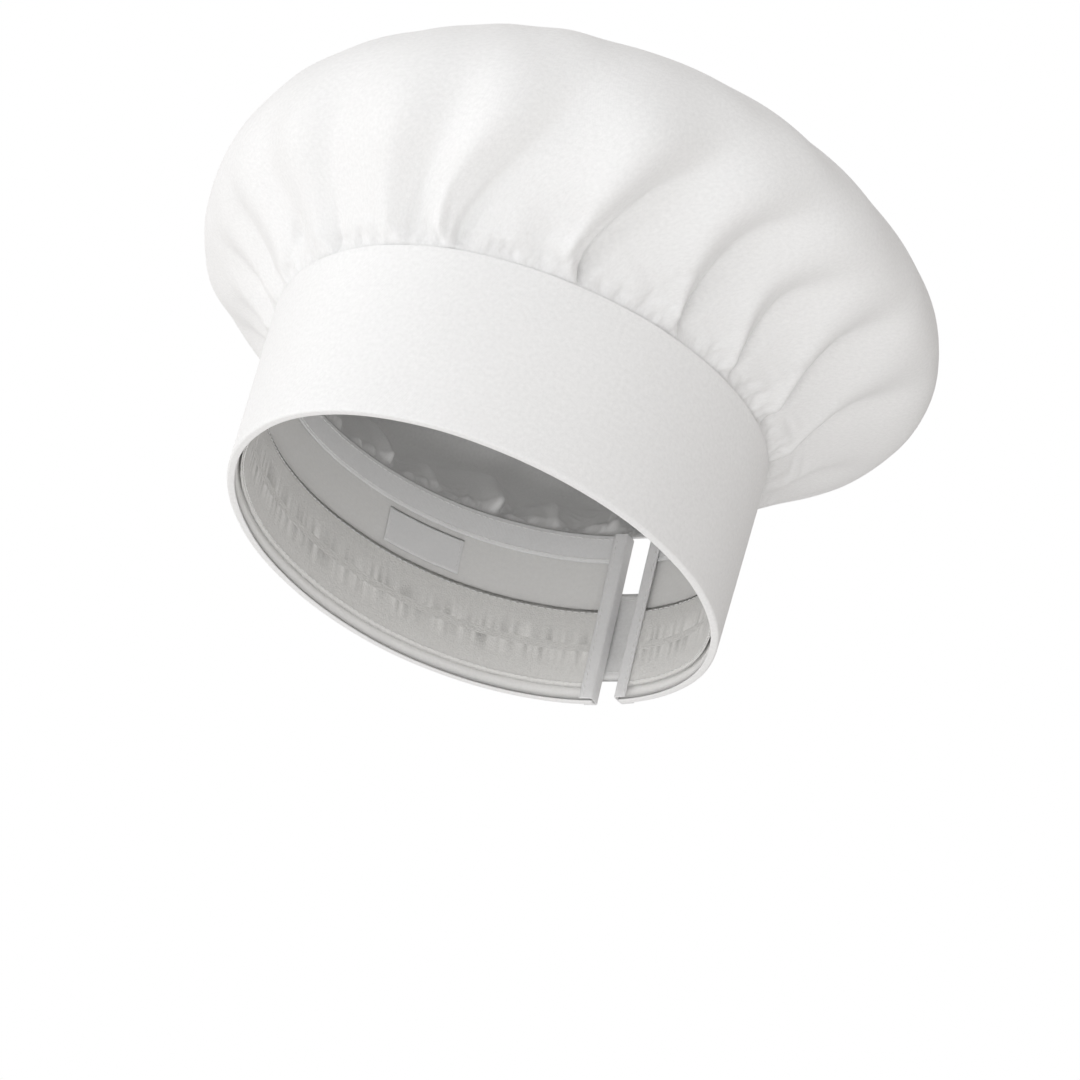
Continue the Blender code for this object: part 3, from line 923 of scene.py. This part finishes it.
def tube(path, radii, sides):
    """Vertices and faces of a thin tube along a path of points, with closed ends."""
    direction = unit(np.gradient(path, axis=0))
    helper = np.array([0.0, 0.0, 1.0])
    if abs(direction[len(path) // 2] @ helper) > 0.9:
        helper = np.array([1.0, 0.0, 0.0])
    side = unit(np.cross(direction, helper))
    up = np.cross(side, direction)
    turns = np.arange(sides) * 2 * pi / sides
    ring = np.cos(turns)[None, :, None] * side[:, None] + np.sin(turns)[None, :, None] * up[:, None]
    points = path[:, None] + ring * np.asarray(radii)[:, None, None]
    return points.reshape(-1, 3), tube_faces(len(path), sides)


def join_tubes(name, tubes, material):
    """Many small tubes as one mesh."""
    points, faces, count = [], [], 0
    for tube_points, tube_faces in tubes:
        faces += [tuple(number + count for number in face) for face in tube_faces]
        points.append(tube_points)
        count += len(tube_points)
    points = np.concatenate(points)
    uv = np.stack([points[:, 0] + points[:, 1], points[:, 2]], -1)
    return make_piece(name, points, faces, uv, material)


def surface_path(corners, offset):
    """Points and outward directions every fraction of a millimetre along lines on the band."""
    azimuths, heights = [], []
    for (azimuth, height), (next_azimuth, next_height) in zip(corners[:-1], corners[1:]):
        reach = np.hypot(arc_metres(next_azimuth - azimuth), next_height - height)
        share = np.linspace(0.0, 1.0, max(2, int(reach / (0.4 * MM))))[:-1]
        azimuths.append(azimuth + (next_azimuth - azimuth) * share)
        heights.append(height + (next_height - height) * share)
    azimuths = np.append(np.concatenate(azimuths), corners[-1][0])
    heights = np.append(np.concatenate(heights), corners[-1][1])
    offsets = np.array([offset(a, h) for a, h in zip(azimuths, heights)])
    points = band_point(azimuths, heights, offsets)
    outward = unit(band_point(azimuths, heights, offsets + MM) - points)
    return points, outward


def running_stitches(corners, offset, facing, pitch=2.6 * MM, length=2.0 * MM, radius=0.17 * MM):
    """Stitches along lines on the band; each dips into the cloth at both ends."""
    points, outward = surface_path(corners, offset)
    steps = np.linalg.norm(np.diff(points, axis=0), axis=-1)
    travel = np.concatenate([[0.0], np.cumsum(steps)])
    made = []
    for start in np.arange(0.3 * MM, travel[-1] - length, pitch):
        shares = np.linspace(0.0, 1.0, 5)
        at = start + shares * length
        path = np.stack([np.interp(at, travel, points[:, axis]) for axis in range(3)], -1)
        lift = np.stack([np.interp(at, travel, outward[:, axis]) for axis in range(3)], -1)
        arch = np.array([-0.9, 0.35, 0.6, 0.35, -0.9])[:, None] * radius * facing
        made.append(tube(path + lift * arch, radius * np.array([0.6, 0.95, 1.0, 0.95, 0.6]), 6))
    return made


def level(value):
    """An offset that is the same all along, apart from the band's own waviness."""
    return lambda azimuth, height: value + ripple(azimuth, height)


def box_corners(azimuths, span, inset):
    degrees = arc_degrees(inset)
    first, last = azimuths[0] + degrees, azimuths[1] - degrees
    low, high = span[0] + inset, span[1] - inset
    return [(first, low), (last, low), (last, high), (first, high), (first, low)]


def build_band_stitches(materials):
    """Every seam that is sewn through the band: one piece of thread for each sewn part."""
    thread = materials["thread"]
    pieces = {}
    rows = (
        ("sweatband", SWEATBAND_SPAN, SWEATBAND[0] - 0.03 * MM, 1.6 * MM, 1.6 * MM),
        ("seam_binding", SEAM_TAPE_SPAN, SEAM_TAPE[0], 1.5 * MM, 2.0 * MM),
    )
    for key, span, offset, above, below in rows:
        lines = []
        for height in (span[0] + above, span[1] - below):
            corners = [(VENT_FIRST + 1.0, height), (VENT_LAST - 1.0, height)]
            lines += running_stitches(corners, level(offset), -1)
        pieces[key] = join_tubes(key + "_stitches", lines, thread)
    corners = box_corners(LABEL_AZIMUTHS, LABEL_SPAN, 1.2 * MM)
    lines = running_stitches(corners, level(LABEL[0]), -1, 1.9 * MM, 1.4 * MM, 0.12 * MM)
    pieces["care_label"] = join_tubes("care_label_stitches", lines, thread)
    for side, key in ((-1, "vent_left"), (1, "vent_right")):
        azimuth = 180.0 + side * 6.1
        corners = [(azimuth, 1.0 * MM), (azimuth, BAND_HEIGHT - 1.0 * MM)]
        lines = running_stitches(corners, level(VENT_TAPE_OUTSIDE + VENT_TAPE), 1)
        lines += running_stitches(corners, level(VENT_TAPE_INSIDE - VENT_TAPE), -1)
        pieces[key] = join_tubes(key + "_stitches", lines, thread)
    return pieces


def base_stitches():
    """The box and cross that hold the strap's base."""

    def base_top(azimuth, height):
        return float(base_faces(azimuth, np.array(height))[1]) + ripple(azimuth, height)

    low, high = STRAP_SPAN[0] + 3 * MM, STRAP_SPAN[1] - 3 * MM
    first, last = 193.0, BASE_END - 1.8
    box = [(first, low), (last, low), (last, high), (first, high), (first, low)]
    rising = [(first + 0.6, low + MM), (last - 0.6, high - MM)]
    falling = [(first + 0.6, high - MM), (last - 0.6, low + MM)]
    return [stitch for line in (box, rising, falling) for stitch in running_stitches(line, base_top, 1)]


def tab_outline():
    """The line of topstitching round the free tab, with its rounded tip."""
    inset = 3.2 * MM
    curve = TIP_CORNER - inset
    tip = STRAP_TIP + arc_degrees(inset)
    bend = arc_degrees(curve)
    lower, upper = STRAP_SPAN[0] + inset, STRAP_SPAN[1] - inset
    turns = np.linspace(0.0, 0.5 * pi, 7)
    rounding = [(tip + bend * (1.0 - sin(turn)), curve * (1.0 - cos(turn))) for turn in turns]
    corners = [(STRAP_ROOT - 0.8, lower)] + [(azimuth, lower + lift) for azimuth, lift in rounding]
    corners += [(azimuth, upper - lift) for azimuth, lift in rounding[::-1]]
    return corners + [(STRAP_ROOT - 0.8, upper)]


def build_strap_stitches(materials):
    """The threads that hold the strap's base, the tab's plies and the two tapes."""
    outline = tab_outline()
    hook_box = box_corners(HOOK_AZIMUTHS, TAPE_SPAN, 1.3 * MM)
    loop_box = box_corners(LOOP_AZIMUTHS, TAPE_SPAN, 1.3 * MM)
    rows = (
        ("base", "strap_base", base_stitches()),
        ("over", "tab_top", running_stitches(outline, lambda a, h: TAB_OVER[1], 1)),
        ("under", "tab_underside", running_stitches(outline, lambda a, h: TAB_UNDER[0], -1)),
        ("hooks", "hook_tape", running_stitches(hook_box, lambda a, h: HOOK_TAPE[0], -1)),
        ("loops", "loop_tape", running_stitches(loop_box, level(LOOP_TAPE[1]), 1)),
    )
    return {key: join_tubes(name + "_stitches", lines, materials["thread"]) for key, name, lines in rows}


def tape_places(azimuths, degrees, distance):
    """A grid of places on a tape, inside its stitches."""
    for azimuth in np.arange(azimuths[0] + 1.2, azimuths[1] - 1.0, degrees):
        for height in np.arange(TAPE_SPAN[0] + 2.2 * MM, TAPE_SPAN[1] - 2.0 * MM, distance):
            yield azimuth, height


def hook_tubes(draws):
    """Stems that bend back into hooks, from the hook tape towards the loops."""
    bend = 0.28 * MM
    stem = HOOK_TAPE[0] - HOOK_REACH - bend
    turns = np.linspace(0.0, 1.25 * pi, 7)
    crook = HOOK_REACH + bend + 0.0 * turns - bend * np.sin(turns)
    offsets = np.concatenate([[HOOK_TAPE[0] + 0.05 * MM, HOOK_TAPE[0] - 0.5 * stem], crook])
    tubes = []
    for azimuth, height in tape_places(HOOK_AZIMUTHS, 0.85, 1.35 * MM):
        heights = np.concatenate([[height, height], height + bend * (1.0 - np.cos(turns))])
        lean = azimuth + draws.uniform(-0.08, 0.08)
        tubes.append(tube(band_point(lean, heights, offsets), np.full(9, 0.085 * MM), 5))
    return tubes


def loop_tubes(draws):
    """Arches of thread that stand on the loop tape, turned every way."""
    turns = np.linspace(0.0, pi, 6)
    tubes = []
    for azimuth, height in tape_places(LOOP_AZIMUTHS, 0.62, 1.05 * MM):
        middle = height + draws.uniform(-0.3, 0.3) * MM
        wide = draws.uniform(0.35, 0.75) * MM
        turn = draws.uniform(0.0, pi)
        rise = (LOOP_PILE - LOOP_TAPE[1]) * draws.uniform(0.6, 1.0)
        azimuths = azimuth + arc_degrees(wide * cos(turn)) * np.cos(turns)
        heights = middle + wide * sin(turn) * np.cos(turns)
        offsets = LOOP_TAPE[1] - 0.03 * MM + rise * np.sin(turns)
        tubes.append(tube(band_point(azimuths, heights, offsets), np.full(6, 0.055 * MM), 4))
    return tubes


def build_tapes(materials):
    """The hook tape under the tab and the loop tape on the band, with real hooks and loops."""
    nylon, pile = materials["nylon"], materials["loops"]
    edges, hook_faces, loop_faces = flat_edges(*TAPE_SPAN), flat_faces(*HOOK_TAPE), flat_faces(*LOOP_TAPE)
    draws = np.random.default_rng(5)
    return {
        "hook_tape": strip("hook_tape_base", HOOK_AZIMUTHS, edges, hook_faces, nylon, 12, wavy=False),
        "loop_tape": strip("loop_tape_base", LOOP_AZIMUTHS, edges, loop_faces, pile, 12),
        "hooks": join_tubes("hook_tape_hooks", hook_tubes(draws), nylon),
        "loops": join_tubes("loop_tape_loops", loop_tubes(draws), pile),
    }


# ---------------------------------------------------------------- assembly


def attach(piece, body, slot, *nodes):
    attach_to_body(piece, body)
    if nodes:
        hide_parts(*nodes)
    return piece


def dress_band(materials):
    """The band's layers and vent tapes; returns its outer cloth."""
    layers = build_band_layers(materials)
    sewn = build_band_stitches(materials)
    band = attach(build_band_cloth(materials), "head_band", "band_twill", "band_shell")
    for name in ("band_interfacing", "tab_stiffener"):
        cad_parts[name].material_slots[0].material = materials["felt"]

    lining = attach(layers["band_lining"], "head_band", "lining_cotton", "band_lining")
    rows = (
        ("sweatband", "sweatband_terry", (0.575, 0.032)),
        ("seam_binding", "binding_tape", (0.575, 0.012)),
        ("care_label", "label_satin", (0.032, 0.0145)),
    )
    for name, slot, flat in rows:
        attach(layers[name], "head_band", slot, name)
        attach(sewn[name], "head_band", "binding_tape")
    for side, name in ((-1, "left"), (1, "right")):
        tape = build_vent_tape("vent_binding_" + name + "_tape", side, materials["tape"])
        attach(tape, "head_band", "binding_tape", "vent_binding_" + name)
        thread = attach(sewn["vent_" + name], "head_band", "binding_tape")
    return band


def dress_strap(materials, band):
    """The sewn base of the strap, its free tab, and the hook and loop tapes."""
    tapes = build_tapes(materials)
    sewn = build_strap_stitches(materials)
    base = build_base(materials)
    over, under = build_tab(materials)
    rows = (
        (base, "head_band", "band_twill", "strap_base", "base", (0.035, 0.036), band),
        (over, "closure_tab", "band_twill", "tab_top", "over", (0.068, 0.036), "tab_stiffener"),
        (under, "closure_tab", "band_twill", "tab_underside", "under", (0.066, 0.036), "tab_stiffener"),
        (tapes["hook_tape"], "closure_tab", "hook_tape", "hook_tape", "hooks", (0.0285, 0.025), under),
        (tapes["loop_tape"], "head_band", "loop_tape", "loop_tape", "loops", (0.057, 0.025), band),
    )
    for piece, body, slot, node, key, flat, rests_on in rows:
        attach(piece, body, slot, node)
        attach(sewn[key], body, "binding_tape")
        nap = [attach(tapes[key], body, slot)] if key in tapes else []


def dress_hat(materials):
    crown = build_crown(materials)
    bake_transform(crown)
    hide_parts("crown", "crown_gathers")
    dress_strap(materials, dress_band(materials))


# ---------------------------------------------------------------- light and camera

CAMERA_AZIMUTH = 36.0
CAMERA_ELEVATION = -25.54
CAMERA_ROLL = radians(14.31)
CAMERA_DISTANCE = 1.5
CAMERA_LENS = 144.7
AIM_RIGHT, AIM_UP = 0.0244, 0.0089


def toward(azimuth, elevation):
    """A direction from the hat, by azimuth and elevation in degrees."""
    turn, rise = radians(azimuth), radians(elevation)
    return Vector((sin(turn) * cos(rise), -cos(turn) * cos(rise), sin(rise)))


GLOW_DIRECTION = toward(6.0, -2.0)
KEY_DIRECTION = toward(-55.0, -4.0)
BACK_DIRECTION = toward(225.0, 40.0)
FILL_DIRECTION = toward(26.0, -43.0)
GLOW_MIDDLE = (0.575, 0.55, 0.53)
GLOW_SWING = (0.64, 0.68, 0.72)
GLOW_LEAST = (0.27, 0.262, 0.255)
LIGHT_DISTANCE = 1.6
KEY_POWER = 5.8
BACK_POWER = 8.0
FILL_POWER = 4.6
FLOOR_GLOW = 0.15
FLOOR_HALF = 12.0
FLOOR_HEIGHT = -1.3


def add_camera():
    """The camera at the photo's angle: below the hat, from the wearer's front left."""
    back = toward(CAMERA_AZIMUTH, CAMERA_ELEVATION)
    level_right = toward(CAMERA_AZIMUTH + 90.0, 0.0)
    level_up = back.cross(level_right)
    right = level_right * cos(CAMERA_ROLL) + level_up * sin(CAMERA_ROLL)
    up = level_up * cos(CAMERA_ROLL) - level_right * sin(CAMERA_ROLL)
    place = back * CAMERA_DISTANCE
    aim = right * AIM_RIGHT + up * AIM_UP
    backward = (place - aim).normalized()
    side = up.cross(backward).normalized()
    upright = backward.cross(side)
    data = bpy.data.cameras.new("camera")
    data.lens = CAMERA_LENS
    data.sensor_width = 36.0
    data.clip_start, data.clip_end = 0.05, 30.0
    camera = put_in_scene("camera", data)
    turned = Matrix((side, upright, backward)).transposed().to_4x4()
    camera.matrix_world = Matrix.Translation(place) @ turned
    bpy.context.scene.camera = camera


def add_world():
    """White where the camera sees it, and a soft gradient, bright on the key's side, as light."""
    world = bpy.data.worlds.new("studio")
    bpy.context.scene.world = world
    world.use_nodes = True
    tree = world.node_tree
    tree.nodes.clear()
    place = add_node(tree, "ShaderNodeTexCoord").outputs["Generated"]
    sides = [(0, place), (1, GLOW_DIRECTION)]
    facing = add_node(tree, "ShaderNodeVectorMath", sides, operation="DOT_PRODUCT")
    swing = [(0, facing.outputs["Value"]), (1, GLOW_SWING), (2, GLOW_MIDDLE)]
    glow = add_node(tree, "ShaderNodeVectorMath", swing, operation="MULTIPLY_ADD")
    least = [(0, glow.outputs[0]), (1, GLOW_LEAST)]
    kept = add_node(tree, "ShaderNodeVectorMath", least, operation="MAXIMUM")
    soft = add_node(tree, "ShaderNodeBackground", [("Color", kept.outputs[0]), ("Strength", 1.0)])
    white = add_node(tree, "ShaderNodeBackground", [("Color", (1.0, 1.0, 1.0, 1.0)), ("Strength", 1.0)])
    seen = add_node(tree, "ShaderNodeLightPath").outputs["Is Camera Ray"]
    mix = add_node(tree, "ShaderNodeMixShader", [(0, seen), (1, soft.outputs[0]), (2, white.outputs[0])])
    add_node(tree, "ShaderNodeOutputWorld", [(0, mix.outputs[0])])


def add_light(name, direction, size, power):
    """A soft square light that faces the hat."""
    data = bpy.data.lights.new(name, "AREA")
    data.size = size
    data.energy = power
    light = put_in_scene(name, data)
    light.location = Vector((0.0, 0.0, 0.5 * CROWN_TOP_HEIGHT)) + direction * LIGHT_DISTANCE
    light.rotation_mode = "QUATERNION"
    light.rotation_quaternion = direction.to_track_quat("Z", "Y")


def add_floor():
    """A wide pale floor well below the hat, which is seen from beneath as on a wearer's head."""
    sides = ((-1, -1), (1, -1), (1, 1), (-1, 1))
    corners = np.array([(x * FLOOR_HALF, y * FLOOR_HALF, FLOOR_HEIGHT) for x, y in sides])
    material = bpy.data.materials.new("floor_paper")
    material.use_nodes = True
    shader = material.node_tree.nodes["Principled BSDF"]
    shader.inputs["Base Color"].default_value = (0.88, 0.88, 0.88, 1.0)
    shader.inputs["Roughness"].default_value = 0.9
    shader.inputs["Emission Color"].default_value = (1.0, 1.0, 1.0, 1.0)
    shader.inputs["Emission Strength"].default_value = FLOOR_GLOW
    make_piece("floor", corners, [(0, 1, 2, 3)], corners[:, :2], material)


def main():
    dress_hat(make_materials())
    add_floor()
    add_world()
    add_light("key", KEY_DIRECTION, 0.8, KEY_POWER)
    add_light("back", BACK_DIRECTION, 1.4, BACK_POWER)
    add_light("fill", FILL_DIRECTION, 0.5, FILL_POWER)
    add_camera()
    bpy.context.scene.view_settings.view_transform = "Standard"


main()
